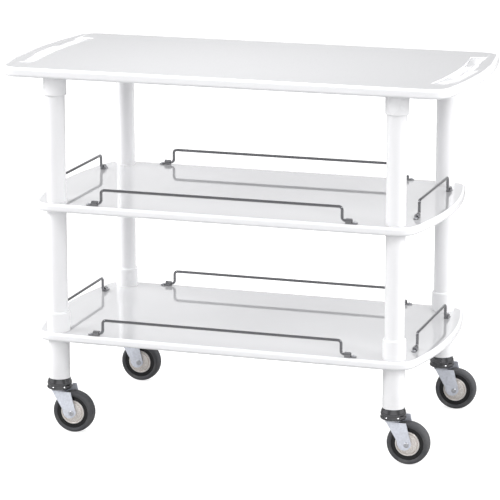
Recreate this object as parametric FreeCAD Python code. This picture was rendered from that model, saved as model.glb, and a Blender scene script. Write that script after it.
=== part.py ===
import FreeCAD, Part
import math
import os
from FreeCAD import Vector

# Three-tier instrument cart, in millimetres. X runs along its length (+X is the right-hand
# end), -Y is the front, and Z = 0 is the floor under the wheels.

# Trays: moulded panels with bowed short ends
TOP_LENGTH = 1000.0
TOP_WIDTH = 500.0
TOP_THICKNESS = 20.0
TOP_FACE_Z = 788.5
TOP_BOW_RADIUS = 1200.0
TOP_CORNER_RADIUS = 42.0
SHELF_LENGTH = 880.0
SHELF_WIDTH = 486.0
SHELF_THICKNESS = 17.5
SHELF_BOW_RADIUS = 850.0
SHELF_CORNER_RADIUS = 45.0
MIDDLE_FACE_Z = 502.0
BOTTOM_FACE_Z = 221.5
TRAY_EDGE_ROUND = 6.0

# Hand grips: a shallow scoop that follows each bowed end, with a through slot in it
GRIP_OUTER_INSET = 26.0
GRIP_WIDTH = 33.0
GRIP_HALF_SPAN = 181.0
GRIP_DEPTH = 5.0
GRIP_END_DEPTH = 2.0
GRIP_END_RADIUS = 7.0
SLOT_WIDTH = 18.0
SLOT_HALF_SPAN = 78.0

# Posts, legs, collars and the tie rods that clamp them
POST_X = 368.5
POST_Y = 208.5
POST_RADIUS = 20.5
LEG_RADIUS = 22.75
TUBE_WALL = 1.5
LEG_BOTTOM_Z = 117.5
COLLAR_RADIUS = 24.25
TOP_COLLAR_HEIGHT = 40.0
SLEEVE_HEIGHT = 41.5
SLEEVE_CHAMFER = 1.6
SLIP_GAP = 0.05
TIE_ROD_RADIUS = 5.0
TIE_ROD_BOTTOM_Z = 179.0
PLUG_HEIGHT = 10.0
INSERT_RADIUS = 8.0
INSERT_HEIGHT = 14.0
NUT_ACROSS_FLATS = 17.0
NUT_HEIGHT = 8.0

# Gallery rails: cranked wire loops held by a barrel clip at each end
ROD_RADIUS = 3.0
ROD_BEND = 7.0
RAIL_HEIGHT = 34.0
RAIL_AXIS_HEIGHT = 5.5
LONG_RAIL_HALF = 261.0
LONG_RAIL_Y = 228.0
SHORT_RAIL_HALF = 122.0
SHORT_RAIL_X = 395.0
STUB_LENGTH = 20.0
CLIP_GAP = 1.0
CLIP_LENGTH = 13.0
CLIP_RADIUS = 5.0
BARREL_CLEARANCE = 0.05
TAB_LENGTH = 12.0
TAB_THICKNESS = 2.0
SCREW_HEAD_RADIUS = 4.0
SCREW_HEAD_HEIGHT = 2.2
SCREW_HEAD_ROUND = 1.4
SCREW_CROSS_HALF = 0.5
SCREW_CROSS_REACH = 2.5
SCREW_CROSS_DEPTH = 1.2
SCREW_RADIUS = 2.0
SCREW_DEPTH = 11.0
SCREW_TIP_GAP = 0.5

# Casters
WHEEL_RADIUS = 45.0
WHEEL_TRAIL = 33.0
TYRE_HALF_WIDTH = 14.5
TYRE_INNER_RADIUS = 34.5
RIM_HALF_WIDTH = 12.0
HUB_RADIUS = 12.0
HUB_HALF_WIDTH = 10.0
WEB_HALF = 4.0
BUSH_RADIUS = 6.5
BUSH_HALF_LENGTH = 15.5
CAP_RADIUS = 26.0
CAP_SKIN = 0.8
CAP_REACH = 15.0
AXLE_RADIUS = 4.0
AXLE_HEAD_RADIUS = 5.6
AXLE_HEAD_HEIGHT = 3.2
AXLE_HEAD_ROUND = 1.4
AXLE_HOLLOW_RADIUS = 2.2
AXLE_HOLLOW_DEPTH = 1.6
AXLE_TIP_LENGTH = 1.8
AXLE_TIP_CHAMFER = 0.8
AXLE_NUT_ACROSS_FLATS = 13.0
AXLE_NUT_HEIGHT = 6.0
SPACER_RADIUS = 7.5
RUNNING_CLEARANCE = 0.05
END_FLOAT = 0.3
FORK_INNER_HALF = 17.5
FORK_PLATE = 2.5
CROWN_TOP_Z = 90.4
CROWN_PLATE = 2.4
CROWN_REACH = 13.0
CROWN_RADIUS = 17.5
EAR_START_X = 22.5
EAR_END_X = 31.5
EAR_TOP_Z = 101.0
EAR_NOTCH = 1.5
FOLD_X = 17.5
FOLD_RUN = 1.5
FOLD_STEP = 1.2
FORK_FRONT_X = -12.0
FORK_FRONT_INSET = 4.0
CHEEK_FRONT_FOOT = (12.8, 50.0)
CHEEK_LOWEST = (27.5, 32.8)
CHEEK_REAR_FOOT = (43.0, 46.0)
KINGPIN_RADIUS = 5.5
KINGPIN_HEAD_RADIUS = 8.0
KINGPIN_HEAD_HEIGHT = 3.4
STEM_TOP_Z = 160.0
SOCKET_TOP_Z = 166.0
BALL_RADIUS = 1.5
BALL_CIRCLE = 12.6
BALL_COUNT = 16
BALL_CENTRE_Z = 92.3
CUP_FLOOR_Z = 93.0
CUP_WALL = 1.2
CUP_HOLE_RADIUS = 16.0
CUP_FLOOR_RADIUS = 19.0
RACE_LIP_RADIUS = 18.2
RACE_LIP_GAP = 0.7
RACE_WASHER = 2.4

CORNERS = {
    "front_left": (-1, -1),
    "front_right": (1, -1),
    "back_left": (-1, 1),
    "back_right": (1, 1),
}
TOP_UNDERSIDE_Z = TOP_FACE_Z - TOP_THICKNESS
MIDDLE_UNDERSIDE_Z = MIDDLE_FACE_Z - SHELF_THICKNESS
BOTTOM_UNDERSIDE_Z = BOTTOM_FACE_Z - SHELF_THICKNESS
UP = Vector(0, 0, 1)
ALONG_Y = Vector(0, 1, 0)
OUT = "parts"


def post_centres():
    return [(sx * POST_X, sy * POST_Y) for sx, sy in CORNERS.values()]


def cylinder(radius, low, high, x=0.0, y=0.0):
    return Part.makeCylinder(radius, high - low, Vector(x, y, low), UP)


def ring(outer, inner, low, high, x=0.0, y=0.0):
    return cylinder(outer, low, high, x, y).cut(cylinder(inner, low - 1, high + 1, x, y))


def block(x0, y0, z0, x1, y1, z1):
    return Part.makeBox(x1 - x0, y1 - y0, z1 - z0, Vector(x0, y0, z0))


def polygon_face(points):
    return Part.Face(Part.makePolygon(list(points) + [points[0]]))


def turned(profile, x=0.0, y=0.0):
    """A solid turned about a vertical axis from (radius, height) points."""
    face = polygon_face([Vector(r, 0, z) for r, z in profile])
    solid = face.revolve(Vector(0, 0, 0), UP, 360)
    solid.translate(Vector(x, y, 0))
    return solid


def turned_on_axle(profile):
    """A solid turned about the Y axis from (radius, y) points."""
    face = polygon_face([Vector(r, y, 0) for r, y in profile])
    return face.revolve(Vector(0, 0, 0), ALONG_Y, 360)


def smooth_edge(points):
    """One flowing curve through the points."""
    curve = Part.BSplineCurve()
    curve.interpolate(points)
    return curve.toShape()


def skin_face(front, back):
    """A thin section between two flowing curves, both given from the same end."""
    return Part.Face(Part.Wire([
        smooth_edge(front), Part.LineSegment(front[-1], back[-1]).toShape(),
        smooth_edge(list(reversed(back))), Part.LineSegment(back[0], front[0]).toShape()]))


def hex_prism(across_flats, low, high, x, y):
    radius = across_flats / math.sqrt(3)
    corners = []
    for i in range(6):
        a = math.radians(60 * i)
        corners.append(Vector(x + radius * math.cos(a), y + radius * math.sin(a), low))
    return polygon_face(corners).extrude(Vector(0, 0, high - low))


def save(name, solids):
    """Write one node: a single solid, or a group of separate ones."""
    solids = solids if isinstance(solids, list) else [solids]
    whole = []
    for solid in solids:
        whole.extend(solid.Solids)
    shape = whole[0] if len(whole) == 1 else Part.makeCompound(whole)
    if not shape.isValid():
        raise RuntimeError(name + " is not a valid shape")
    shape.exportStep(os.path.join(OUT, name + ".step"))


# ---------------------------------------------------------------- trays


def edges_at(solid, height):
    """The edges of a panel that lie flat at one height, round its outline."""
    found = []
    for edge in solid.Edges:
        box = edge.BoundBox
        if abs(box.ZMin - height) < 0.01 and abs(box.ZMax - height) < 0.01:
            found.append(edge)
    return found


def upright_edges(solid):
    return [e for e in solid.Edges if e.BoundBox.ZLength > 1 and e.BoundBox.DiagonalLength
            < e.BoundBox.ZLength + 0.01]


def bowed_panel(length, width, thickness, face_z, bow_radius, corner_radius):
    """A flat panel with straight long edges and both short ends bowed outwards."""
    low = face_z - thickness
    panel = block(-length / 2, -width / 2, low, length / 2, width / 2, face_z)
    for side in (-1, 1):
        centre = side * (length / 2 - bow_radius)
        panel = panel.common(cylinder(bow_radius, low - 1, face_z + 1, centre))
    panel = panel.makeFillet(corner_radius, upright_edges(panel))
    panel = panel.makeFillet(TRAY_EDGE_ROUND, edges_at(panel, face_z) + edges_at(panel, low))
    return panel


def bow_sector(inner, outer, profile, half_span, side):
    """A (radius, height) profile swept along the bow of one end of the top tray."""
    centre = side * (TOP_LENGTH / 2 - TOP_BOW_RADIUS)
    half_angle = math.degrees(math.asin(half_span / outer))
    face = polygon_face([Vector(r, 0, z) for r, z in profile])
    sector = face.revolve(Vector(0, 0, 0), UP, 2 * half_angle)
    facing = 0 if side > 0 else 180
    sector.rotate(Vector(0, 0, 0), UP, facing - half_angle)
    sector.translate(Vector(centre, 0, 0))
    return sector


def grip_cut(side):
    """What is taken out of the top tray at one end: the scoop and the through slot."""
    outer = TOP_BOW_RADIUS - GRIP_OUTER_INSET
    inner = outer - GRIP_WIDTH
    slot_outer = inner + SLOT_WIDTH
    above = TOP_FACE_Z + 5
    floor = TOP_FACE_Z - GRIP_DEPTH
    profile = [(inner, above), (outer, above), (outer, TOP_FACE_Z), (slot_outer, floor), (inner, floor)]
    scoop = bow_sector(inner, outer, profile, GRIP_HALF_SPAN, side)
    scoop = scoop.makeFillet(GRIP_END_RADIUS, upright_edges(scoop))

    shallow = TOP_FACE_Z - GRIP_END_DEPTH
    reach = GRIP_HALF_SPAN + 10
    limit = [(-reach, above), (reach, above), (reach, shallow), (SLOT_HALF_SPAN - 10, floor),
             (10 - SLOT_HALF_SPAN, floor), (-reach, shallow)]
    wedge = polygon_face([Vector(0, y, z) for y, z in limit]).extrude(Vector(side * TOP_LENGTH, 0, 0))
    scoop = scoop.common(wedge)

    below = TOP_UNDERSIDE_Z - 5
    band = [(inner, above), (slot_outer, above), (slot_outer, below), (inner, below)]
    slot = bow_sector(inner, slot_outer, band, SLOT_HALF_SPAN, side)
    slot = slot.makeFillet(GRIP_END_RADIUS, upright_edges(slot))
    return scoop.fuse(slot)


def top_tray():
    tray = bowed_panel(TOP_LENGTH, TOP_WIDTH, TOP_THICKNESS, TOP_FACE_Z, TOP_BOW_RADIUS, TOP_CORNER_RADIUS)
    for side in (-1, 1):
        tray = tray.cut(grip_cut(side))
    for x, y in post_centres():
        tray = tray.cut(cylinder(INSERT_RADIUS, TOP_UNDERSIDE_Z - 1, TOP_UNDERSIDE_Z + INSERT_HEIGHT, x, y))
    return tray


def shelf(face_z):
    panel = bowed_panel(SHELF_LENGTH, SHELF_WIDTH, SHELF_THICKNESS, face_z, SHELF_BOW_RADIUS,
                        SHELF_CORNER_RADIUS)
    for x, y in post_centres():
        hole = TIE_ROD_RADIUS + SLIP_GAP
        panel = panel.cut(cylinder(hole, face_z - SHELF_THICKNESS - 1, face_z + 1, x, y))
    for x, y in screw_places():
        hole = SCREW_RADIUS + SLIP_GAP
        panel = panel.cut(cylinder(hole, face_z - SCREW_DEPTH, face_z + 1, x, y))
    return panel


# ---------------------------------------------------------------- posts and what is in them


def tube(radius, low, high, x, y):
    return ring(radius, radius - TUBE_WALL, low, high, x, y)


def top_collar(x, y):
    low = TOP_UNDERSIDE_Z - TOP_COLLAR_HEIGHT
    inner = POST_RADIUS + SLIP_GAP
    profile = [(inner, low), (COLLAR_RADIUS - SLEEVE_CHAMFER, low), (COLLAR_RADIUS, low + SLEEVE_CHAMFER),
               (COLLAR_RADIUS, TOP_UNDERSIDE_Z), (inner, TOP_UNDERSIDE_Z)]
    return turned(profile, x, y)


def bottom_sleeve(x, y):
    high = BOTTOM_FACE_Z + SLEEVE_HEIGHT
    inner = POST_RADIUS + SLIP_GAP
    profile = [(inner, BOTTOM_FACE_Z), (COLLAR_RADIUS, BOTTOM_FACE_Z),
               (COLLAR_RADIUS, high - SLEEVE_CHAMFER), (COLLAR_RADIUS - SLEEVE_CHAMFER, high), (inner, high)]
    return turned(profile, x, y)


def tube_plugs(x, y):
    """Discs that centre the tie rod in each tube end, with the thick one in the leg."""
    hole = TIE_ROD_RADIUS + SLIP_GAP
    inner = POST_RADIUS - TUBE_WALL
    lows = (BOTTOM_FACE_Z, MIDDLE_UNDERSIDE_Z - PLUG_HEIGHT, MIDDLE_FACE_Z, TOP_UNDERSIDE_Z - PLUG_HEIGHT)
    plugs = [ring(inner, hole, low, low + PLUG_HEIGHT, x, y) for low in lows]
    leg_low = BOTTOM_UNDERSIDE_Z - PLUG_HEIGHT
    plugs.append(ring(LEG_RADIUS - TUBE_WALL, hole, leg_low, BOTTOM_UNDERSIDE_Z, x, y))
    return plugs


def tie_rod_nut(x, y):
    high = BOTTOM_UNDERSIDE_Z - PLUG_HEIGHT
    nut = hex_prism(NUT_ACROSS_FLATS, high - NUT_HEIGHT, high, x, y)
    return nut.cut(cylinder(TIE_ROD_RADIUS + SLIP_GAP, high - NUT_HEIGHT - 1, high + 1, x, y))


# ---------------------------------------------------------------- gallery rails


def rounded_path(points, radius):
    """Straight runs between the points, joined by arcs of one radius."""
    edges = []
    start = points[0]
    for before, corner, after in zip(points, points[1:], points[2:]):
        back = (before - corner).normalize()
        onward = (after - corner).normalize()
        p = corner + back * radius
        q = corner + onward * radius
        centre = p + onward * radius
        middle = centre + (corner - centre).normalize() * radius
        edges.append(Part.LineSegment(start, p).toShape())
        edges.append(Part.Arc(p, middle, q).toShape())
        start = q
    edges.append(Part.LineSegment(start, points[-1]).toShape())
    return Part.Wire(edges)


def rail_along_x(half, face_z):
    """A wire loop standing on the X axis: two stubs, two legs and the long rod."""
    foot = face_z + RAIL_AXIS_HEIGHT
    head = face_z + RAIL_HEIGHT
    tip = half + STUB_LENGTH
    points = [(-tip, foot), (-half, foot), (-half, head), (half, head), (half, foot), (tip, foot)]
    path = rounded_path([Vector(x, 0, z) for x, z in points], ROD_BEND)
    section = Part.Wire(Part.makeCircle(ROD_RADIUS, Vector(-tip, 0, foot), Vector(1, 0, 0)))
    return path.makePipeShell([section], True, True)


def clip_along_x(half, face_z, end):
    """A barrel that holds one stub, with a flat tab beyond it for a screw."""
    start = half + ROD_BEND + CLIP_GAP
    stop = start + CLIP_LENGTH
    axis_z = face_z + RAIL_AXIS_HEIGHT
    along = Vector(1, 0, 0)
    barrel = Part.makeCylinder(CLIP_RADIUS, CLIP_LENGTH, Vector(start, 0, axis_z), along)
    foot = block(start, -CLIP_RADIUS, face_z, stop, CLIP_RADIUS, axis_z)
    tab = block(start, -CLIP_RADIUS, face_z, stop + TAB_LENGTH, CLIP_RADIUS, face_z + TAB_THICKNESS)
    tab = tab.makeFillet(CLIP_RADIUS - 0.5, [e for e in upright_edges(tab) if e.BoundBox.XMin > stop])
    bore_radius = ROD_RADIUS + BARREL_CLEARANCE
    bore = Part.makeCylinder(bore_radius, CLIP_LENGTH + 2, Vector(start - 1, 0, axis_z), along)
    hole = cylinder(SCREW_RADIUS + SLIP_GAP, face_z - 1, face_z + TAB_THICKNESS + 1, screw_offset(half))
    clip = barrel.fuse(foot).fuse(tab).removeSplitter().cut(bore).cut(hole)
    return clip if end > 0 else turned_about_z(clip, 180)


def screw_offset(half):
    return half + ROD_BEND + CLIP_GAP + CLIP_LENGTH + TAB_LENGTH / 2


def turned_about_z(shape, angle):
    copy = shape.copy()
    copy.rotate(Vector(0, 0, 0), UP, angle)
    return copy


RAILS = {
    "front": (LONG_RAIL_HALF, 0, Vector(0, -LONG_RAIL_Y, 0)),
    "back": (LONG_RAIL_HALF, 0, Vector(0, LONG_RAIL_Y, 0)),
    "left": (SHORT_RAIL_HALF, 90, Vector(-SHORT_RAIL_X, 0, 0)),
    "right": (SHORT_RAIL_HALF, 90, Vector(SHORT_RAIL_X, 0, 0)),
}


def placed(shape, angle, offset):
    copy = turned_about_z(shape, angle)
    copy.translate(offset)
    return copy


def screw_places():
    places = []
    for half, angle, offset in RAILS.values():
        for end in (-1, 1):
            reach = end * screw_offset(half)
            along_x = angle == 0
            places.append((offset.x + (reach if along_x else 0), offset.y + (0 if along_x else reach)))
    return places


def clip_screw(x, y, face_z):
    tab_top = face_z + TAB_THICKNESS
    crest = tab_top + SCREW_HEAD_HEIGHT
    head = cylinder(SCREW_HEAD_RADIUS, tab_top, crest, x, y)
    head = head.makeFillet(SCREW_HEAD_ROUND, edges_at(head, crest))
    floor = crest - SCREW_CROSS_DEPTH
    for span_x, span_y in ((SCREW_CROSS_REACH, SCREW_CROSS_HALF), (SCREW_CROSS_HALF, SCREW_CROSS_REACH)):
        head = head.cut(block(x - span_x, y - span_y, floor, x + span_x, y + span_y, crest + 1))
    shank = cylinder(SCREW_RADIUS, face_z - SCREW_DEPTH + SCREW_TIP_GAP, tab_top, x, y)
    return head.fuse(shank).removeSplitter()


# ---------------------------------------------------------------- casters


def caster_cup(x, y):
    """The chrome housing on the leg's end: two bulges with a groove between them."""
    top = LEG_BOTTOM_Z
    low = CUP_FLOOR_Z
    outside = [(LEG_RADIUS, top), (24.0, top - 3.0), (25.7, top - 7.0), (26.5, top - 10.8),
               (26.3, top - 13.4), (25.4, low + 9.0), (25.7, low + 8.0), (26.9, low + 6.4),
               (27.3, low + 4.6), (26.9, low + 3.0), (25.2, low + 1.5), (22.0, low + 0.5),
               (CUP_FLOOR_RADIUS, low)]
    inside = [(LEG_RADIUS - CUP_WALL, top), (22.6, top - 3.2), (24.3, top - 7.0), (24.9, top - 10.8),
              (24.7, top - 13.4), (24.0, low + 8.8), (24.3, low + 8.0), (25.3, low + 6.2),
              (25.6, low + 4.8), (25.2, low + 3.6), (23.6, low + 2.4), (21.5, low + 1.7),
              (CUP_FLOOR_RADIUS, low + CUP_WALL)]
    wall = skin_face([Vector(r, 0, z) for r, z in outside], [Vector(r, 0, z) for r, z in inside])
    cup = wall.revolve(Vector(0, 0, 0), UP, 360)
    cup.translate(Vector(x, y, 0))
    floor = ring(CUP_FLOOR_RADIUS, CUP_HOLE_RADIUS, low, low + CUP_WALL, x, y)
    return cup.fuse(floor).removeSplitter()


def caster_socket(x, y):
    """The expanding plug that grips the inside of the leg and holds the stem."""
    bore = KINGPIN_RADIUS + SLIP_GAP
    return ring(LEG_RADIUS - TUBE_WALL, bore, LEG_BOTTOM_Z, SOCKET_TOP_Z, x, y)


def caster_stem(x, y):
    """Stem and kingpin in one: the head under the fork's crown carries the fork."""
    head_top = CROWN_TOP_Z - CROWN_PLATE - END_FLOAT
    stem = cylinder(KINGPIN_RADIUS, head_top, STEM_TOP_Z, x, y)
    head = cylinder(KINGPIN_HEAD_RADIUS, head_top - KINGPIN_HEAD_HEIGHT, head_top, x, y)
    return stem.fuse(head)


def swivel_race(x, y):
    """The hardened ring under the cup, with the washer that the balls run against."""
    groove = BALL_CENTRE_Z + BALL_RADIUS
    bore = KINGPIN_RADIUS + SLIP_GAP
    lip_bore = BALL_CIRCLE + BALL_RADIUS + 0.5
    lip = ring(RACE_LIP_RADIUS, lip_bore, CROWN_TOP_Z + RACE_LIP_GAP, CUP_FLOOR_Z, x, y)
    washer = ring(CUP_HOLE_RADIUS - 2 * SLIP_GAP, bore, groove, groove + RACE_WASHER, x, y)
    return [lip, washer]


def swivel_balls(x, y):
    balls = []
    for i in range(BALL_COUNT):
        a = 2 * math.pi * i / BALL_COUNT
        place = Vector(x + BALL_CIRCLE * math.cos(a), y + BALL_CIRCLE * math.sin(a), BALL_CENTRE_Z)
        balls.append(Part.makeSphere(BALL_RADIUS, place))
    return balls


def cheek_outline(top):
    """The side view of one cheek: straight front, round foot, and a raised rear ear or none."""
    front = Vector(FORK_FRONT_X, 0, CROWN_TOP_Z)
    low_points = (CHEEK_FRONT_FOOT, CHEEK_LOWEST, CHEEK_REAR_FOOT)
    front_foot, lowest, rear_foot = [Vector(x, 0, z) for x, z in low_points]
    rear = [rear_foot, Vector(EAR_END_X, 0, top)]
    if top > CROWN_TOP_Z:
        rear += [Vector(EAR_START_X, 0, top), Vector(EAR_START_X - EAR_NOTCH, 0, CROWN_TOP_Z)]
    edges = [Part.LineSegment(front, front_foot).toShape(), Part.Arc(front_foot, lowest, rear_foot).toShape()]
    for a, b in zip(rear, rear[1:] + [front]):
        edges.append(Part.LineSegment(a, b).toShape())
    reach = 2 * (FORK_INNER_HALF + FORK_PLATE)
    outline = Part.Face(Part.Wire(edges)).extrude(Vector(0, reach, 0))
    outline.translate(Vector(0, -reach / 2, 0))
    return outline


def fork():
    """A pressed fork about the swivel axis: crown, and two cheeks with a stepped fold."""
    inner, outer = FORK_INNER_HALF, FORK_INNER_HALF + FORK_PLATE
    front_in = inner - FORK_FRONT_INSET
    front_out = outer - FORK_FRONT_INSET
    front_x = FORK_FRONT_X - 3
    rear_x = WHEEL_TRAIL + 16
    step_x = FOLD_X - FOLD_RUN
    plan = [(rear_x, inner), (FOLD_X, inner), (step_x, inner - FOLD_STEP), (front_x, front_in),
            (front_x, front_out), (step_x, outer - FOLD_STEP), (FOLD_X, outer), (rear_x, outer)]
    crown_low = CROWN_TOP_Z - CROWN_PLATE
    into_cheek = 0.4
    rear_half = inner - FOLD_STEP + into_cheek / 2
    front_half = front_in + into_cheek
    bridge = [(CROWN_REACH, -rear_half), (CROWN_REACH, rear_half), (FORK_FRONT_X, front_half),
              (FORK_FRONT_X, -front_half)]
    body = polygon_face([Vector(x, y, crown_low) for x, y in bridge]).extrude(Vector(0, 0, CROWN_PLATE))
    for side, top in ((-1, CROWN_TOP_Z), (1, EAR_TOP_Z)):
        cheek = polygon_face([Vector(x, side * y, 0) for x, y in plan]).extrude(Vector(0, 0, EAR_TOP_Z + 5))
        body = body.fuse(cheek.common(cheek_outline(top)))
    nose = cylinder(CROWN_RADIUS, crown_low, CROWN_TOP_Z).common(
        block(-CROWN_RADIUS - 1, -front_out, crown_low, 0, front_out, CROWN_TOP_Z))
    kingpin_hole = cylinder(KINGPIN_RADIUS + RUNNING_CLEARANCE, crown_low - 1, CROWN_TOP_Z + 1)
    hole_start = Vector(WHEEL_TRAIL, -outer - 1, WHEEL_RADIUS)
    axle_hole = Part.makeCylinder(AXLE_RADIUS + SLIP_GAP, 2 * outer + 2, hole_start, ALONG_Y)
    return body.fuse(nose).cut(kingpin_hole).cut(axle_hole).removeSplitter()


def axle_set():
    """Round-headed axle bolt with a hollow in its head, its nut, and a spacer on each side."""
    cheek = FORK_INNER_HALF + FORK_PLATE
    crest = -cheek - AXLE_HEAD_HEIGHT
    hollow = crest + AXLE_HOLLOW_DEPTH
    tip = cheek + AXLE_NUT_HEIGHT + AXLE_TIP_LENGTH
    bolt = [(0, hollow), (AXLE_HOLLOW_RADIUS, hollow), (AXLE_HOLLOW_RADIUS, crest), (AXLE_RADIUS, crest),
            (AXLE_HEAD_RADIUS, crest + AXLE_HEAD_ROUND), (AXLE_HEAD_RADIUS, -cheek), (AXLE_RADIUS, -cheek),
            (AXLE_RADIUS, tip - AXLE_TIP_CHAMFER), (AXLE_RADIUS - AXLE_TIP_CHAMFER, tip), (0, tip)]
    bore = AXLE_RADIUS + SLIP_GAP
    nut = hex_prism(AXLE_NUT_ACROSS_FLATS, 0, AXLE_NUT_HEIGHT, 0, 0)
    nut = nut.cut(cylinder(bore, -1, AXLE_NUT_HEIGHT + 1))
    nut.rotate(Vector(0, 0, 0), Vector(1, 0, 0), -90)
    nut.translate(Vector(0, cheek, 0))
    solids = [turned_on_axle(bolt), nut]
    for side in (-1, 1):
        near = side * (BUSH_HALF_LENGTH + END_FLOAT)
        far = side * FORK_INNER_HALF
        spacer = [(bore, near), (SPACER_RADIUS, near), (SPACER_RADIUS, far), (bore, far)]
        solids.append(turned_on_axle(spacer))
    return solids


def tyre():
    """A rubber ring with nearly flat sides, round shoulders and a crowned tread."""
    w = TYRE_HALF_WIDTH
    r = WHEEL_RADIUS
    seat = TYRE_INNER_RADIUS
    side_in, side_mid, side_out = (seat, w - 2.5), (seat + 1.8, w - 0.5), (r - 6.5, w)
    shoulder, tread = (r - 1.9, w - 2.7), (r - 0.35, w - 6.5)
    edges = []
    for s in (-1, 1):
        a, b, c, d, e = [Vector(x, s * y, 0) for x, y in (side_in, side_mid, side_out, shoulder, tread)]
        edges += [Part.Arc(a, b, c).toShape(), Part.Arc(c, d, e).toShape()]
    edges.append(Part.Arc(Vector(tread[0], -tread[1], 0), Vector(r, 0, 0), Vector(*tread, 0)).toShape())
    edges.append(Part.LineSegment(Vector(side_in[0], -side_in[1], 0), Vector(*side_in, 0)).toShape())
    outline = Part.Wire(Part.__sortEdges__(edges))
    return Part.Face(outline).revolve(Vector(0, 0, 0), ALONG_Y, 360)


def wheel_centre():
    """The black moulded centre: hub, web and the rim that carries the tyre."""
    inner_rim = CAP_RADIUS + 1.0
    half = [(BUSH_RADIUS, HUB_HALF_WIDTH), (HUB_RADIUS, HUB_HALF_WIDTH), (HUB_RADIUS, WEB_HALF),
            (inner_rim - 3, WEB_HALF), (inner_rim - 1, RIM_HALF_WIDTH - 1.5), (inner_rim, RIM_HALF_WIDTH),
            (TYRE_INNER_RADIUS, RIM_HALF_WIDTH)]
    profile = half + [(r, -y) for r, y in reversed(half)]
    return turned_on_axle(profile)


def hub_cap(side):
    """A pressed disc with a raised bead near its edge and a domed middle."""
    seat = RIM_HALF_WIDTH - 1.2
    reach = CAP_REACH
    face = [(CAP_RADIUS, seat), (CAP_RADIUS - 0.6, seat + 1.2), (22.0, reach - 1.2), (20.2, reach - 0.4),
            (18.9, reach - 1.1), (18.2, reach - 1.8), (16.0, reach - 1.4), (11.0, reach - 0.4),
            (BUSH_RADIUS + 0.6, reach)]
    back = [(r - 0.5 if r > 25 else r, y - CAP_SKIN) for r, y in face]
    section = skin_face([Vector(r, side * y, 0) for r, y in face],
                        [Vector(r, side * y, 0) for r, y in back])
    return section.revolve(Vector(0, 0, 0), ALONG_Y, 360)


def wheel_bush():
    bore = AXLE_RADIUS + RUNNING_CLEARANCE
    half = BUSH_HALF_LENGTH
    return turned_on_axle([(bore, -half), (BUSH_RADIUS, -half), (BUSH_RADIUS, half), (bore, half)])


# ---------------------------------------------------------------- the whole cart

os.makedirs(OUT, exist_ok=True)
save("top_tray", top_tray())
save("middle_shelf", shelf(MIDDLE_FACE_Z))
save("bottom_shelf", shelf(BOTTOM_FACE_Z))

centres = post_centres()
for corner, (x, y) in zip(CORNERS, centres):
    save("upper_post_" + corner, tube(POST_RADIUS, MIDDLE_FACE_Z, TOP_UNDERSIDE_Z, x, y))
    save("lower_post_" + corner, tube(POST_RADIUS, BOTTOM_FACE_Z, MIDDLE_UNDERSIDE_Z, x, y))
    save("leg_" + corner, tube(LEG_RADIUS, LEG_BOTTOM_Z, BOTTOM_UNDERSIDE_Z, x, y))

insert_top = TOP_UNDERSIDE_Z + INSERT_HEIGHT
save("top_collars", [top_collar(x, y) for x, y in centres])
save("bottom_sleeves", [bottom_sleeve(x, y) for x, y in centres])
save("tie_rods", [cylinder(TIE_ROD_RADIUS, TIE_ROD_BOTTOM_Z, insert_top - 1, x, y) for x, y in centres])
save("tie_rod_nuts", [tie_rod_nut(x, y) for x, y in centres])
save("tray_inserts", [cylinder(INSERT_RADIUS, TOP_UNDERSIDE_Z, insert_top, x, y).cut(
    cylinder(TIE_ROD_RADIUS + SLIP_GAP, TOP_UNDERSIDE_Z - 1, insert_top - 1, x, y)) for x, y in centres])
save("tube_plugs", [plug for x, y in centres for plug in tube_plugs(x, y)])
save("caster_cups", [caster_cup(x, y) for x, y in centres])
save("caster_sockets", [caster_socket(x, y) for x, y in centres])
save("caster_stems", [caster_stem(x, y) for x, y in centres])
save("swivel_races", [race for x, y in centres for race in swivel_race(x, y)])
save("swivel_balls", [ball for x, y in centres for ball in swivel_balls(x, y)])

clips = []
screws = []
for shelf_name, face_z in (("middle", MIDDLE_FACE_Z), ("bottom", BOTTOM_FACE_Z)):
    for side, (half, angle, offset) in RAILS.items():
        save(shelf_name + "_" + side + "_rail", placed(rail_along_x(half, face_z), angle, offset))
        for end in (-1, 1):
            clips.append(placed(clip_along_x(half, face_z, end), angle, offset))
    screws += [clip_screw(x, y, face_z) for x, y in screw_places()]
save("rail_clips", clips)
save("clip_screws", screws)

for corner, (x, y) in zip(CORNERS, centres):
    swivel = Vector(x, y, 0)
    axle = Vector(x + WHEEL_TRAIL, y, WHEEL_RADIUS)
    save(corner + "_fork", placed(fork(), 0, swivel))
    save(corner + "_axle_bolt", [placed(s, 0, axle) for s in axle_set()])
    save(corner + "_tyre", placed(tyre(), 0, axle))
    save(corner + "_wheel_centre", placed(wheel_centre(), 0, axle))
    save(corner + "_hub_caps", [placed(hub_cap(side), 0, axle) for side in (-1, 1)])
    save(corner + "_wheel_bush", placed(wheel_bush(), 0, axle))
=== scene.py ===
import math

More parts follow.
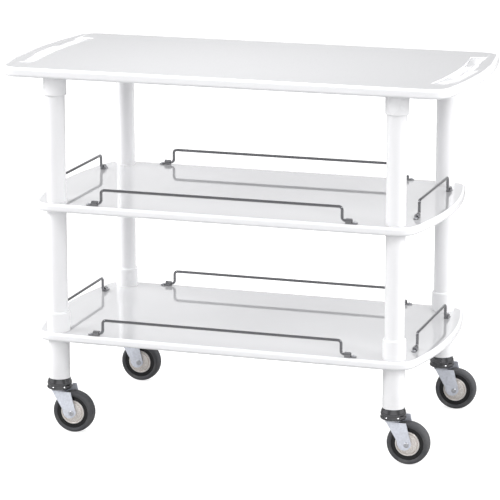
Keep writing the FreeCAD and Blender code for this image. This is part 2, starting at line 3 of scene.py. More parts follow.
import bmesh
import bpy
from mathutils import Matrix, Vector


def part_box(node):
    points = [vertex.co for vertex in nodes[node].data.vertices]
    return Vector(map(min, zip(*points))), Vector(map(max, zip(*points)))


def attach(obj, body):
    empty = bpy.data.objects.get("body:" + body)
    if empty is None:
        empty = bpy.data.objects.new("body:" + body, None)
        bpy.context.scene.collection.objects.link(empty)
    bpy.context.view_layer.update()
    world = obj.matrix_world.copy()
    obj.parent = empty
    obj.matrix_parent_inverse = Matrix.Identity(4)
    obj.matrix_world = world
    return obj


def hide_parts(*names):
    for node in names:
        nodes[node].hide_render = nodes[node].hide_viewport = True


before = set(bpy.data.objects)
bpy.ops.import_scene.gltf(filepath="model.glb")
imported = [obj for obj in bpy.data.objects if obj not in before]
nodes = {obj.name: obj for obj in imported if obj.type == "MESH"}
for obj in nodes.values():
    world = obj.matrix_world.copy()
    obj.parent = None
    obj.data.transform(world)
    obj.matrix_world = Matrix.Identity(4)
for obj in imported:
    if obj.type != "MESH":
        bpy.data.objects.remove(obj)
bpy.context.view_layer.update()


# Studio: a pale floor that the lens sees as white, in a pale room with lighter walls and
# ceiling. There is a soft box at each side, a fill in front and behind, and two narrow
# strips and an overhead box that the bright parts can mirror.
def in_scene(name, data):
    """A new object in the scene."""
    piece = bpy.data.objects.new(name, data)
    bpy.context.scene.collection.objects.link(piece)
    return piece


def mesh_from(shape, name):
    """A shape as a mesh. The shape itself is used up."""
    mesh = bpy.data.meshes.new(name)
    shape.to_mesh(mesh)
    shape.free()
    return mesh


def feed(tree, value, socket):
    """Sets a socket to a number, or links another socket to it."""
    if isinstance(value, (int, float)):
        socket.default_value = value
    else:
        tree.links.new(value, socket)


def math_node(tree, operation, first, second):
    """A sum on two sockets or numbers, in a shader. Returns its output."""
    node = tree.nodes.new("ShaderNodeMath")
    node.operation = operation
    feed(tree, first, node.inputs[0])
    feed(tree, second, node.inputs[1])
    return node.outputs[0]


def ranged(tree, value, start, stop, low, high, step="LINEAR"):
    """Maps a value from start and stop to low and high, and holds it there beyond them."""
    node = tree.nodes.new("ShaderNodeMapRange")
    node.interpolation_type = step
    limits = {"Value": value, "From Min": start, "From Max": stop, "To Min": low, "To Max": high}
    for label, limit in limits.items():
        feed(tree, limit, node.inputs[label])
    return node.outputs["Result"]


floor_reach, floor_glow = 30.0, 0.78
floor_shape = bmesh.new()
bmesh.ops.create_grid(floor_shape, x_segments=8, y_segments=8, size=floor_reach)
studio_floor = in_scene("studio_floor", mesh_from(floor_shape, "studio_floor"))

floor_paper = bpy.data.materials.new("floor_paper")
floor_paper.use_nodes = True
paper = floor_paper.node_tree.nodes["Principled BSDF"]
paper.inputs["Base Color"].default_value = (0.42, 0.42, 0.42, 1)
paper.inputs["Roughness"].default_value = 0.95
paper.inputs["Specular IOR Level"].default_value = 0.0
paper.inputs["Emission Color"].default_value = (1, 1, 1, 1)
floor_sight = floor_paper.node_tree.nodes.new("ShaderNodeLightPath").outputs["Is Camera Ray"]
seen_glow = math_node(floor_paper.node_tree, "MULTIPLY", floor_sight, floor_glow)
floor_paper.node_tree.links.new(seen_glow, paper.inputs["Emission Strength"])
studio_floor.data.materials.append(floor_paper)

room = bpy.data.worlds.new("studio_room")
bpy.context.scene.world = room
room.use_nodes = True
room_tree = room.node_tree
facing = room_tree.nodes.new("ShaderNodeTexCoord").outputs["Generated"]
split_facing = room_tree.nodes.new("ShaderNodeSeparateXYZ")
room_tree.links.new(facing, split_facing.inputs[0])
to_wall = 0.0
for wall in ((-0.305, 0.952, 0.0), (0.952, 0.305, 0.0)):
    toward = room_tree.nodes.new("ShaderNodeVectorMath")
    toward.operation = "DOT_PRODUCT"
    toward.inputs[1].default_value = wall
    room_tree.links.new(facing, toward.inputs[0])
    either_way = math_node(room_tree, "ABSOLUTE", toward.outputs["Value"], 0.0)
    to_wall = math_node(room_tree, "MAXIMUM", either_way, to_wall)
upward = split_facing.outputs["Z"]
walls = ranged(room_tree, to_wall, 0.72, 0.93, 0.28, 0.78, "SMOOTHSTEP")
above_floor = ranged(room_tree, upward, -0.02, 0.08, 0.0, 1.0, "SMOOTHSTEP")
ceiling = ranged(room_tree, upward, 0.30, 0.85, 0.14, 0.50, "SMOOTHSTEP")
indoors = math_node(room_tree, "ADD", math_node(room_tree, "MULTIPLY", walls, above_floor), ceiling)
room_sight = room_tree.nodes.new("ShaderNodeLightPath").outputs["Is Camera Ray"]
background = room_tree.nodes["Background"]
background.inputs["Color"].default_value = (0.985, 0.985, 1.0, 1)
room_tree.links.new(math_node(room_tree, "MAXIMUM", indoors, room_sight), background.inputs["Strength"])


def soft_box(name, place, aim, width, length, power, mirrored=False):
    """A soft light at a place, turned to an aim. It shows in reflections only if mirrored."""
    light = bpy.data.lights.new(name, "AREA")
    light.shape = "RECTANGLE"
    light.size, light.size_y = width, length
    light.energy = power
    box = in_scene(name, light)
    box.location = place
    box.rotation_euler = (Vector(aim) - Vector(place)).to_track_quat("-Z", "Y").to_euler()
    box.visible_glossy = mirrored


soft_box("left_soft_box", (-4.2, -0.3, 2.2), (0, 0, 0.4), 3.0, 2.4, 190)
soft_box("right_soft_box", (4.2, 0.9, 2.2), (0, 0, 0.4), 3.0, 2.4, 100)
soft_box("front_fill", (2.6, -4.6, 2.7), (0, 0, 0.5), 2.2, 1.5, 48)
soft_box("left_strip", (-2.6, -1.9, 3.0), (0, 0, 0.3), 0.7, 1.4, 40, mirrored=True)
soft_box("right_strip", (2.9, -1.3, 2.8), (0, 0, 0.3), 0.7, 1.4, 40, mirrored=True)
soft_box("back_fill", (2.4, 4.4, 2.6), (0, 0, 0.5), 2.2, 1.5, 90)
soft_box("overhead_box", (-0.05, -0.15, 1.5), (-0.05, -0.15, 0), 0.4, 0.3, 4.6, mirrored=True)
bpy.context.scene.view_settings.view_transform = "Standard"

tilt_down, turn_left = 0.2325, 0.3113
lens = bpy.data.cameras.new("studio_camera")
lens.sensor_width = 36
lens.lens = 190.9
lens.clip_end = 100
camera = in_scene("studio_camera", lens)
camera.location = (1.6889, -5.2747, 1.6869)
camera.rotation_euler = (math.pi / 2 - tilt_down, 0, turn_left)
bpy.context.scene.camera = camera


# Trays: three moulded panels in glossy white plastic, with painted shade on their level top faces. The
# worktop has a satin top face, darker still with painted shade, and a scooped grip with a finger slot at each
# end, with all its rims rounded over.
def new_effect(name, inputs, outputs):
    """An empty shader group. Its inputs have starting values, and colours end in Colour."""
    group = bpy.data.node_groups.new(name, "ShaderNodeTree")

    def add_socket(label, way):
        kind = "NodeSocketColor" if label.endswith("Colour") else "NodeSocketFloat"
        return group.interface.new_socket(label, in_out=way, socket_type=kind)

    for label, value in inputs:
        add_socket(label, "INPUT").default_value = value
    for label in outputs:
        add_socket(label, "OUTPUT")
    return group, group.nodes.new("NodeGroupInput"), group.nodes.new("NodeGroupOutput")


def noise(tree, place, scale, detail):
    """Noise over a place, at a scale from a socket. Returns its output."""
    node = tree.nodes.new("ShaderNodeTexNoise")
    node.inputs["Detail"].default_value = detail
    tree.links.new(place, node.inputs["Vector"])
    tree.links.new(scale, node.inputs["Scale"])
    return node.outputs["Fac"]


def scaled(tree, colour, scale):
    """A colour made lighter or darker by a socket. Returns its output."""
    node = tree.nodes.new("ShaderNodeVectorMath")
    node.operation = "SCALE"
    tree.links.new(colour, node.inputs[0])
    tree.links.new(scale, node.inputs["Scale"])
    return node.outputs[0]


def grain_group():
    """Slow clouding of the colour, and the height of a fine ripple, for any finish."""
    settings = (("Cloud Scale", 3.0), ("Ripple Scale", 400.0), ("Cloud Depth", 0.03),
                ("Base Colour", (0.8, 0.8, 0.8, 1)))
    group, start, end = new_effect("skin_grain", settings, ("Colour", "Cloud", "Ripple"))
    place = group.nodes.new("ShaderNodeTexCoord").outputs["Object"]
    cloud = noise(group, place, start.outputs["Cloud Scale"], 3)
    ripple = noise(group, place, start.outputs["Ripple Scale"], 2)
    swing = math_node(group, "SUBTRACT", cloud, 0.5)
    swing = math_node(group, "MULTIPLY", swing, start.outputs["Cloud Depth"])
    tint = scaled(group, start.outputs["Base Colour"], math_node(group, "ADD", swing, 1.0))
    group.links.new(tint, end.inputs["Colour"])
    group.links.new(cloud, end.inputs["Cloud"])
    group.links.new(ripple, end.inputs["Ripple"])
    return group


def scratch_group():
    """Hairline rubs in two crossing directions, thin and broken, from wiping and use."""
    group, start, end = new_effect("fine_scratches", (("Scale", 60.0), ("Amount", 0.2)), ("Scratch",))
    place = group.nodes.new("ShaderNodeTexCoord").outputs["Object"]
    total = 0.0
    for turn, across in ((0.35, 26.0), (-0.9, 19.0)):
        lay = group.nodes.new("ShaderNodeMapping")
        lay.inputs["Rotation"].default_value = (0.0, 0.0, turn)
        lay.inputs["Scale"].default_value = (across, 0.6, across)
        group.links.new(place, lay.inputs["Vector"])
        streak = noise(group, lay.outputs["Vector"], start.outputs["Scale"], 1)
        total = math_node(group, "MAXIMUM", ranged(group, streak, 0.66, 0.74, 0.0, 1.0), total)
    rubs = math_node(group, "MULTIPLY", total, start.outputs["Amount"])
    group.links.new(rubs, end.inputs["Scratch"])
    return group


def dust_group():
    """Grey floor dust that thins out with height and lies in patches."""
    settings = (("Reach", 0.2), ("Amount", 0.2), ("Scale", 40.0))
    group, start, end = new_effect("floor_dust", settings, ("Dust",))
    place = group.nodes.new("ShaderNodeTexCoord").outputs["Object"]
    split = group.nodes.new("ShaderNodeSeparateXYZ")
    group.links.new(place, split.inputs[0])
    fade = ranged(group, split.outputs["Z"], 0.0, start.outputs["Reach"], 1.0, 0.0)
    patches = ranged(group, noise(group, place, start.outputs["Scale"], 4), 0.42, 0.68, 0.0, 1.0)
    layer = math_node(group, "MULTIPLY", fade, patches)
    group.links.new(math_node(group, "MULTIPLY", layer, start.outputs["Amount"]), end.inputs["Dust"])
    return group


def level_group():
    """Where a surface lies flat and faces up, as a mask that fades out over its rounded rims."""
    group, start, end = new_effect("level_faces", (("Flat From", 0.9985),), ("Level",))
    lie, tilt = group.nodes.new("ShaderNodeNewGeometry"), group.nodes.new("ShaderNodeSeparateXYZ")
    group.links.new(lie.outputs["Normal"], tilt.inputs[0])
    level = ranged(group, tilt.outputs["Z"], start.outputs["Flat From"], 0.9999, 0.0, 1.0)
    group.links.new(level, end.inputs["Level"])
    return group


skin_grain = grain_group()
fine_scratches = scratch_group()
floor_dust = dust_group()
level_faces = level_group()


def use_group(tree, group, settings):
    """Puts a shader group in a tree, with its settings. Returns its outputs."""
    node = tree.nodes.new("ShaderNodeGroup")
    node.node_tree = group
    for label, value in settings.items():
        node.inputs[label].default_value = value
    return node.outputs


def finish_material(name, base, rough, rough_spread=0.0, metal=0.0, cloud=3.0, cloud_depth=0.03,
                    ripple=400.0, bump=0.0, coat=0.0, scratch=0.0, dust=0.0, dust_reach=0.25):
    """A skin with grain, hairline rubs and dust. Returns the material and what to build on."""
    material = bpy.data.materials.new(name)
    material.use_nodes = True
    tree = material.node_tree
    shader = tree.nodes["Principled BSDF"]
    shader.inputs["Metallic"].default_value = metal
    shader.inputs["Coat Weight"].default_value = coat
    shader.inputs["Coat Roughness"].default_value = 0.03
    grain = use_group(tree, skin_grain, {"Cloud Scale": cloud, "Cloud Depth": cloud_depth,
                                         "Ripple Scale": ripple, "Base Colour": (*base, 1)})
    rubs = use_group(tree, fine_scratches, {"Amount": scratch})["Scratch"]
    dusting = use_group(tree, floor_dust, {"Amount": dust, "Reach": dust_reach})["Dust"]
    dusted = tree.nodes.new("ShaderNodeMix")
    dusted.data_type = "RGBA"
    dusted.inputs["B"].default_value = (0.30, 0.29, 0.27, 1)
    tree.links.new(dusting, dusted.inputs["Factor"])
    tree.links.new(grain["Colour"], dusted.inputs["A"])
    tree.links.new(dusted.outputs["Result"], shader.inputs["Base Color"])
    spread = ranged(tree, grain["Cloud"], 0.0, 1.0, rough - rough_spread, rough + rough_spread)
    rubbed = math_node(tree, "ADD", spread, rubs)
    tree.links.new(math_node(tree, "ADD", rubbed, dusting), shader.inputs["Roughness"])
    relief = tree.nodes.new("ShaderNodeBump")
    relief.inputs["Strength"].default_value = 1.0
    relief.inputs["Distance"].default_value = bump
    tree.links.new(grain["Ripple"], relief.inputs["Height"])
    tree.links.new(relief.outputs["Normal"], shader.inputs["Normal"])
    return material, {"shader": shader, "colour": dusted.outputs["Result"], "rough": rubbed, "relief": relief}


def level_roughness_and_painted_shade(finish, painted_shade_tone, flat_rough):
    """Gives a moulding's level faces a roughness of their own, as its mould does, and a painted shade that
    darkens them by a tone.
    """
    material, parts = finish
    tree = material.node_tree
    level = use_group(tree, level_faces, {})["Level"]
    # The multiply mix paints shade on the level faces; the other mix gives them their roughness.
    tone, polish = tree.nodes.new("ShaderNodeMix"), tree.nodes.new("ShaderNodeMix")
    tone.data_type = "RGBA"
    tone.blend_type = "MULTIPLY"
    tone.inputs["B"].default_value = (painted_shade_tone, painted_shade_tone, painted_shade_tone, 1)
    polish.data_type = "FLOAT"
    tree.links.new(math_node(tree, "ADD", parts["rough"], flat_rough), polish.inputs["B"])
    for mix, plain, label in ((tone, parts["colour"], "Base Color"), (polish, parts["rough"], "Roughness")):
        tree.links.new(level, mix.inputs["Factor"])
        tree.links.new(plain, mix.inputs["A"])
        tree.links.new(mix.outputs["Result"], parts["shader"].inputs[label])
    return material


weld_reach = 0.000002
same_plane, sharp_edge = math.radians(0.3), math.radians(28)


def made_plain(source, name):
    """The finished shape of a source with modifiers, as a plain mesh object at the origin."""
    bpy.context.view_layer.update()
    mesh = bpy.data.meshes.new_from_object(source.evaluated_get(bpy.context.evaluated_depsgraph_get()))
    mesh.name = name
    bpy.data.objects.remove(source)
    return in_scene(name, mesh)


def merged_copy(node, name, ease, steps):
    """A merged copy of a part as it is moulded or pressed, with its sharp edges eased."""
    shape = bmesh.new()
    shape.from_mesh(nodes[node].data)
    bmesh.ops.remove_doubles(shape, verts=shape.verts, dist=weld_reach)
    bmesh.ops.dissolve_limit(shape, angle_limit=same_plane, verts=shape.verts, edges=shape.edges)
    mesh = mesh_from(shape, node + "_merged")
    mesh.polygons.foreach_set("use_smooth", [True] * len(mesh.polygons))
    source = in_scene(node + "_merged", mesh)
    bevel = source.modifiers.new("eased_edges", "BEVEL")
    bevel.width = ease
    bevel.segments = steps
    bevel.limit_method = "ANGLE"
    bevel.angle_limit = sharp_edge
    flow = source.modifiers.new("even_shading", "WEIGHTED_NORMAL")
    flow.weight = 100
    flow.keep_sharp = True
    piece = made_plain(source, name)
    piece.data.materials.clear()
    return piece


def stands_for(piece, material, slot, body, *replaced):
    """Gives a piece its material, and the CAD parts and the body that it stands for. The slot is not used."""
    piece.data.materials.append(material)
    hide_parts(*replaced)
    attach(piece, body)


def recoat(material, *names):
    """Gives CAD parts whose shape is already right their finish."""
    for name in names:
        for place in nodes[name].material_slots:
            place.material = material


# Painted shade: the level top faces are darkened to 0.64 of their colour on the shelves and to 0.41 on the
# worktop.
tray_gloss = level_roughness_and_painted_shade(
    finish_material("tray_gloss_white", (0.86, 0.862, 0.875), 0.07, 0.02, cloud=4.0, cloud_depth=0.02,
                    ripple=180.0, bump=0.00001, coat=1.0, scratch=0.08),
    painted_shade_tone=0.64, flat_rough=0.0)
top_face = level_roughness_and_painted_shade(
    finish_material("worktop_satin", (0.86, 0.862, 0.875), 0.11, 0.03, cloud=4.0, cloud_depth=0.03,
                    ripple=260.0, bump=0.00001, scratch=0.10),
    painted_shade_tone=0.41, flat_rough=0.19)
worktop = merged_copy("top_tray", "worktop", ease=0.0015, steps=4)
stands_for(worktop, top_face, "tray_white", "cart_frame", "top_tray")
recoat(tray_gloss, "middle_shelf", "bottom_shelf")

# Posts and legs: steel tube with a white powder coat, which flows out to a faint orange
# peel, and moulded white collars and sleeves that cover the joints at the trays.
corners = ("front_left", "front_right", "back_left", "back_right")
powder_white = finish_material(
    "post_powder_white", (0.86, 0.86, 0.87), 0.22, 0.04, cloud=9.0, cloud_depth=0.02,
    ripple=520.0, bump=0.00004, coat=0.25, scratch=0.05, dust=0.12, dust_reach=0.2)[0]
collar_white = finish_material(
    "collar_moulded_white", (0.87, 0.87, 0.88), 0.26, 0.04, cloud=14.0, cloud_depth=0.02,
    ripple=700.0, bump=0.00002)[0]
for corner in corners:
    recoat(powder_white, "upper_post_" + corner, "lower_post_" + corner, "leg_" + corner)
recoat(collar_white, "top_collars", "bottom_sleeves")

# Inside the tubes: zinc plated steel tie rods with their nuts, and caster stems, turned
# brass inserts in the worktop, and moulded black nylon discs and caster sockets.
rod_steel = finish_material(
    "plain_zinc_steel", (0.60, 0.61, 0.64), 0.34, 0.08, metal=1.0, cloud=60.0, cloud_depth=0.12,
    ripple=1500.0, bump=0.00001)[0]
turned_brass = finish_material(
    "turned_brass", (0.72, 0.56, 0.27), 0.28, 0.06, metal=1.0, cloud=80.0, cloud_depth=0.1,
    ripple=1800.0, bump=0.00001)[0]
nylon_black = finish_material(
    "nylon_black", (0.05, 0.05, 0.053), 0.5, 0.06, cloud=40.0, cloud_depth=0.1,
    ripple=900.0, bump=0.00003)[0]
recoat(rod_steel, "tie_rods", "tie_rod_nuts", "caster_stems")
recoat(turned_brass, "tray_inserts")
recoat(nylon_black, "tube_plugs", "caster_sockets")


# Gallery rails: 6 mm wire, cranked at both ends and chromed, so each loop is one wire
# swept round its bends. A short stub at each end turns in a barrel clip.
def new_maker(name, *inputs):
    """An empty geometry tree that takes a source, its named inputs and a finish."""
    tree = bpy.data.node_groups.new(name, "GeometryNodeTree")
    for label, kind in (("Geometry", "Geometry"), *inputs, ("Finish", "Material")):
        tree.interface.new_socket(label, in_out="INPUT", socket_type="NodeSocket" + kind)
    tree.interface.new_socket("Geometry", in_out="OUTPUT", socket_type="NodeSocketGeometry")
    return tree, tree.nodes.new("NodeGroupInput")


def finished(tree, start, made):
    """Ends a geometry tree with what it has made: whole, shaded smooth and in its finish."""
    whole, smooth, coat = (tree.nodes.new("GeometryNode" + kind) for kind in (
        "RealizeInstances", "SetShadeSmooth", "SetMaterial"))
    tree.links.new(made, whole.inputs["Geometry"])
    tree.links.new(whole.outputs["Geometry"], smooth.inputs["Geometry"])
    tree.links.new(smooth.outputs["Geometry"], coat.inputs["Geometry"])
    tree.links.new(start.outputs["Finish"], coat.inputs["Material"])
    tree.links.new(coat.outputs["Geometry"], tree.nodes.new("NodeGroupOutput").inputs["Geometry"])
    return tree


def bent_wire_tree():
    """Rounds the corners of a route and sweeps a round wire along it."""
    tree, start = new_maker("bent_wire", ("Wire Radius", "Float"), ("Bend Radius", "Float"))
    bends = tree.nodes.new("GeometryNodeFilletCurve")
    bends.mode = "POLY"
    bends.inputs["Count"].default_value = 12
    section = tree.nodes.new("GeometryNodeCurvePrimitiveCircle")
    section.inputs["Resolution"].default_value = 20
    sweep = tree.nodes.new("GeometryNodeCurveToMesh")
    sweep.inputs["Fill Caps"].default_value = True
    tree.links.new(start.outputs["Geometry"], bends.inputs["Curve"])
    tree.links.new(start.outputs["Bend Radius"], bends.inputs["Radius"])
    tree.links.new(start.outputs["Wire Radius"], section.inputs["Radius"])
    tree.links.new(bends.outputs["Curve"], sweep.inputs["Curve"])
    tree.links.new(section.outputs["Curve"], sweep.inputs["Profile Curve"])
    return finished(tree, start, sweep.outputs["Mesh"])


def made_by(tree, source, name, **values):
    """What a geometry tree makes of a source with the values of its inputs, as a plain piece."""
    maker = source.modifiers.new(tree.name, "NODES")
    maker.node_group = tree
    for item in tree.interface.items_tree:
        label = item.name.replace(" ", "_").lower()
        if item.in_out == "INPUT" and label in values:
            maker[item.identifier] = values[label]
    return made_plain(source, name)


wire_radius, bend_radius, stub = 0.003, 0.007, 0.020
chrome = finish_material(
    "bright_chrome", (0.24, 0.24, 0.25), 0.08, 0.03, metal=1.0, cloud=30.0, cloud_depth=0.05,
    ripple=300.0, bump=0.000002, scratch=0.12)[0]
bent_wire = bent_wire_tree()
for shelf in ("middle", "bottom"):
    for side in ("front", "back", "left", "right"):
        low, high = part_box(shelf + "_" + side + "_rail")
        centre = (low + high) / 2
        along = Vector((1, 0, 0)) if side in ("front", "back") else Vector((0, 1, 0))
        tip = (high - low).dot(along) / 2
        bend = tip - stub
        foot, head = low.z + wire_radius, high.z - wire_radius
        route = [(-tip, foot), (-bend, foot), (-bend, head), (bend, head), (bend, foot), (tip, foot)]
        wire = bpy.data.curves.new("wire_route", "CURVE")
        wire.dimensions = "3D"
        spline = wire.splines.new("POLY")
        spline.points.add(len(route) - 1)
        for point, (reach, height) in zip(spline.points, route):
            spot = centre + along * reach
            point.co = (spot.x, spot.y, height, 1)
        rail = made_by(bent_wire, in_scene("wire_route", wire), shelf + "_" + side + "_wire",
                       wire_radius=wire_radius, bend_radius=bend_radius, finish=chrome)
        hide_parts(shelf + "_" + side + "_rail")
        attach(rail, shelf + "_" + side + "_rail")

# Barrel clips: small chromed castings, one on each stub of a rail, with eased edges. The
# flat tab of each is held down by one cross-head screw.
clip_chrome = finish_material(
    "clip_chrome", (0.30, 0.30, 0.31), 0.16, 0.05, metal=1.0, cloud=120.0, cloud_depth=0.15,
    ripple=900.0, bump=0.00001)[0]
barrel_clips = merged_copy("rail_clips", "barrel_clips", ease=0.0004, steps=2)
stands_for(barrel_clips, clip_chrome, "clip_chrome", "cart_frame", "rail_clips")
recoat(rod_steel, "clip_screws")

# Casters: a deep chromed cup over each swivel, and in it a race of steel with its balls
# set evenly round. The fork and the wheel below them have sections of their own.
cup_chrome = finish_material(
    "cup_chrome", (0.14, 0.14, 0.145), 0.04, 0.02, metal=1.0, cloud=40.0, cloud_depth=0.04,
    ripple=300.0, bump=0.000002, scratch=0.08, dust=0.05)[0]
recoat(cup_chrome, "caster_cups")
recoat(rod_steel, "swivel_races")


def ball_ring_tree():
    """Sets a ring of balls round each point of a source."""
    inputs = (("Ring Radius", "Float"), ("Ball Radius", "Float"), ("Balls", "Int"))
    tree, start = new_maker("ball_ring", *inputs)
    circle, ball = tree.nodes.new("GeometryNodeMeshCircle"), tree.nodes.new("GeometryNodeMeshIcoSphere")
    ball.inputs["Subdivisions"].default_value = 3
    tree.links.new(start.outputs["Balls"], circle.inputs["Vertices"])
    tree.links.new(start.outputs["Ring Radius"], circle.inputs["Radius"])
    tree.links.new(start.outputs["Ball Radius"], ball.inputs["Radius"])
    on_ring, at_swivels = (tree.nodes.new("GeometryNodeInstanceOnPoints") for _ in range(2))
    tree.links.new(circle.outputs["Mesh"], on_ring.inputs["Points"])
    tree.links.new(ball.outputs["Mesh"], on_ring.inputs["Instance"])
    tree.links.new(start.outputs["Geometry"], at_swivels.inputs["Points"])
    tree.links.new(on_ring.outputs["Instances"], at_swivels.inputs["Instance"])
    return finished(tree, start, at_swivels.outputs["Instances"])


balls_in_race = 16
ball_low, ball_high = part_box("swivel_balls")
ball_radius = (ball_high.z - ball_low.z) / 2
swivels = []
for corner in corners:
    leg_low, leg_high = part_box("leg_" + corner)
    swivels.append((leg_low + leg_high) / 2)
ring_radius = ball_high.x - max(spot.x for spot in swivels) - ball_radius
points = bpy.data.meshes.new("swivel_places")
points.from_pydata([(spot.x, spot.y, ball_low.z + ball_radius) for spot in swivels], [], [])
balls = made_by(ball_ring_tree(), in_scene("swivel_places", points), "race_balls",
                ring_radius=ring_radius, ball_radius=ball_radius, balls=balls_in_race, finish=rod_steel)
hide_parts("swivel_balls")
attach(balls, "cart_frame")

# Forks: pressed from sheet, with a folded step down each cheek, and blue zinc plated, which
# leaves a grainy and mottled skin. A bolt through both cheeks carries the wheel on a bush.
zinc = finish_material(
    "blue_zinc", (0.84, 0.87, 0.95), 0.42, 0.10, metal=0.6, cloud=220.0, cloud_depth=0.34,
    ripple=900.0, bump=0.00004, scratch=0.15, dust=0.25, dust_reach=0.12)[0]
for corner in corners:
    pressed_fork = merged_copy(corner + "_fork", corner + "_pressed_fork", ease=0.0005, steps=2)
    stands_for(pressed_fork, zinc, "zinc_fork", corner + "_swivel", corner + "_fork")
    recoat(rod_steel, corner + "_axle_bolt", corner + "_wheel_bush")


# Wheels: a black moulded centre, a grey rubber tyre pressed on to it, with a lip and a fine
# groove left by its mould, and a cap each side, rolled from nickelled sheet with a rolled rim.
def turning_group():
    """Rings left by turning or moulding, read along the section of a turned piece, and grit."""
    settings = (("Rings per Metre", 900.0), ("Grit Scale", 900.0))
    group, start, end = new_effect("turned_rings", settings, ("Ring", "Grit"))
    section, split = group.nodes.new("ShaderNodeUVMap"), group.nodes.new("ShaderNodeSeparateXYZ")
    section.uv_map = "turning"
    group.links.new(section.outputs["UV"], split.inputs[0])
    rings, grit, place = (group.nodes.new("ShaderNodeTex" + kind) for kind in ("Noise", "Voronoi", "Coord"))
    rings.noise_dimensions = "1D"
    rings.inputs["Detail"].default_value = 2
    group.links.new(split.outputs["Y"], rings.inputs["W"])
    group.links.new(start.outputs["Rings per Metre"], rings.inputs["Scale"])
    group.links.new(place.outputs["Object"], grit.inputs["Vector"])
    group.links.new(start.outputs["Grit Scale"], grit.inputs["Scale"])
    group.links.new(rings.outputs["Fac"], end.inputs["Ring"])
    group.links.new(grit.outputs["Distance"], end.inputs["Grit"])
    return group


turned_rings = turning_group()


def add_turning(finish, rings, grit_scale, ring_depth, grit_depth, tone):
    """Lays rings and grit over a finish, in its relief and in its colour."""
    material, parts = finish
    tree = material.node_tree
    marks = use_group(tree, turned_rings, {"Rings per Metre": rings, "Grit Scale": grit_scale})
    ridges = math_node(tree, "MULTIPLY", marks["Ring"], ring_depth)
    pits = math_node(tree, "MULTIPLY", marks["Grit"], grit_depth)
    tree.links.new(math_node(tree, "ADD", ridges, pits), parts["relief"].inputs["Height"])
    parts["relief"].inputs["Distance"].default_value = 1.0
    shade = ranged(tree, marks["Grit"], 0.0, 1.0, 1.0 - tone, 1.0 + tone)
    tree.links.new(scaled(tree, parts["colour"], shade), parts["shader"].inputs["Base Color"])
    return material


rubber = add_turning(
    finish_material("tyre_grey_rubber", (0.062, 0.063, 0.069), 0.60, 0.08, cloud=70.0, cloud_depth=0.25,
                    dust=0.22, dust_reach=0.11),
    rings=700.0, grit_scale=1400.0, ring_depth=0.00012, grit_depth=0.00003, tone=0.25)
nickel = add_turning(
    finish_material("cap_nickel", (0.84, 0.79, 0.75), 0.36, 0.08, metal=0.8, cloud=260.0, cloud_depth=0.25,
                    scratch=0.1, dust=0.15, dust_reach=0.11),
    rings=500.0, grit_scale=900.0, ring_depth=0.00005, grit_depth=0.00022, tone=0.45)
rolled_rim = finish_material(
    "rolled_rim_nickel", (0.90, 0.86, 0.82), 0.30, 0.06, metal=0.55, cloud=200.0, cloud_depth=0.12,
    ripple=900.0, bump=0.00001, scratch=0.1)[0]
wheel_black = finish_material(
    "wheel_moulded_black", (0.004, 0.004, 0.005), 0.38, 0.06, cloud=60.0, cloud_depth=0.2,
    ripple=1000.0, bump=0.00003, dust=0.02, dust_reach=0.11)[0]

turns, crease = 120, math.radians(48)


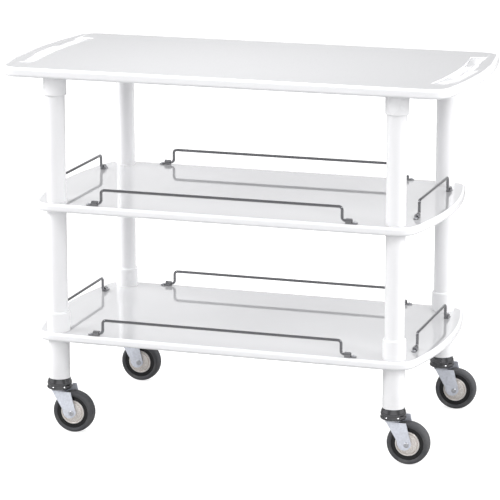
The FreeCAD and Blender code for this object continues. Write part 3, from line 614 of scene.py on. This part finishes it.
def turned_piece(name, centre, sections, rim_steps=0):
    """Closed (radius, reach) sections turned about an axle along Y. The first steps can be a rim."""
    shape = bmesh.new()
    turning = shape.loops.layers.uv.new("turning")
    for section in sections:
        count = len(section)
        run = [0.0]
        for (r0, y0), (r1, y1) in zip(section, section[1:] + section[:1]):
            run.append(run[-1] + math.hypot(r1 - r0, y1 - y0))
        rings = []
        for turn in range(turns):
            angle = 2 * math.pi * turn / turns
            rings.append([shape.verts.new((centre.x + r * math.cos(angle), centre.y + y,
                                           centre.z + r * math.sin(angle))) for r, y in section])
        for turn in range(turns):
            here, beyond = rings[turn], rings[(turn + 1) % turns]
            for step in range(count):
                up = (step + 1) % count
                skin = shape.faces.new((here[step], here[up], beyond[up], beyond[step]))
                spots = ((turn, step), (turn, step + 1), (turn + 1, step + 1), (turn + 1, step))
                for corner_loop, (across, along) in zip(skin.loops, spots):
                    corner_loop[turning].uv = (across / turns, run[along])
                skin.smooth = True
                skin.material_index = 1 if step < rim_steps else 0
    bmesh.ops.recalc_face_normals(shape, faces=shape.faces)
    mesh = mesh_from(shape, name)
    mesh.set_sharp_from_angle(angle=crease)
    return in_scene(name, mesh)


def in_metres(section):
    """A section drawn in millimetres, in metres."""
    return [(r / 1000, y / 1000) for r, y in section]


# Half of the tyre's section, from its seat round its lip and groove out to the tread, and the
# cap's outer face, from its rolled rim in to its middle: radius and reach in millimetres.
tyre_half = [(34.5, 11.8), (34.9, 13.0), (35.6, 13.8), (36.5, 14.1), (36.9, 13.8), (37.3, 14.2), (38.5, 14.5),
             (40.4, 14.3), (41.0, 14.1), (41.3, 13.7), (41.7, 13.8), (42.6, 12.7), (43.5, 11.3), (44.1, 9.9),
             (44.55, 8.2), (44.8, 6.0), (44.95, 3.4), (45.0, 0.5), (44.8, 0.0)]
cap_face = [(26.0, 10.8), (25.95, 11.8), (25.5, 12.8), (24.7, 13.5), (23.8, 13.6), (23.0, 13.2), (22.6, 12.3),
            (22.3, 11.2), (21.9, 11.1), (21.5, 12.0), (20.8, 12.8), (19.0, 13.4), (16.0, 14.0), (12.0, 14.6),
            (9.0, 14.9), (7.1, 15.0)]
cap_skin, rim_skin, rim_radius, rim_steps = 0.8, 0.4, 25, 6
cap_back = [(r - rim_skin if r > rim_radius else r, y - cap_skin) for r, y in reversed(cap_face)]
cap_sections = [in_metres([(r, side * y) for r, y in cap_face + cap_back]) for side in (-1, 1)]
tyre_section = in_metres(tyre_half + [(r, -y) for r, y in reversed(tyre_half) if y > 0])
for corner in corners:
    low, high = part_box(corner + "_tyre")
    axle = (low + high) / 2
    rubber_tyre = turned_piece(corner + "_rubber_tyre", axle, [tyre_section])
    stands_for(rubber_tyre, rubber, "tyre_rubber", corner + "_wheel", corner + "_tyre")
    pressed_caps = turned_piece(corner + "_pressed_caps", axle, cap_sections, rim_steps)
    stands_for(pressed_caps, nickel, "hub_cap_nickel", corner + "_wheel", corner + "_hub_caps")
    pressed_caps.data.materials.append(rolled_rim)
    recoat(wheel_black, corner + "_wheel_centre")
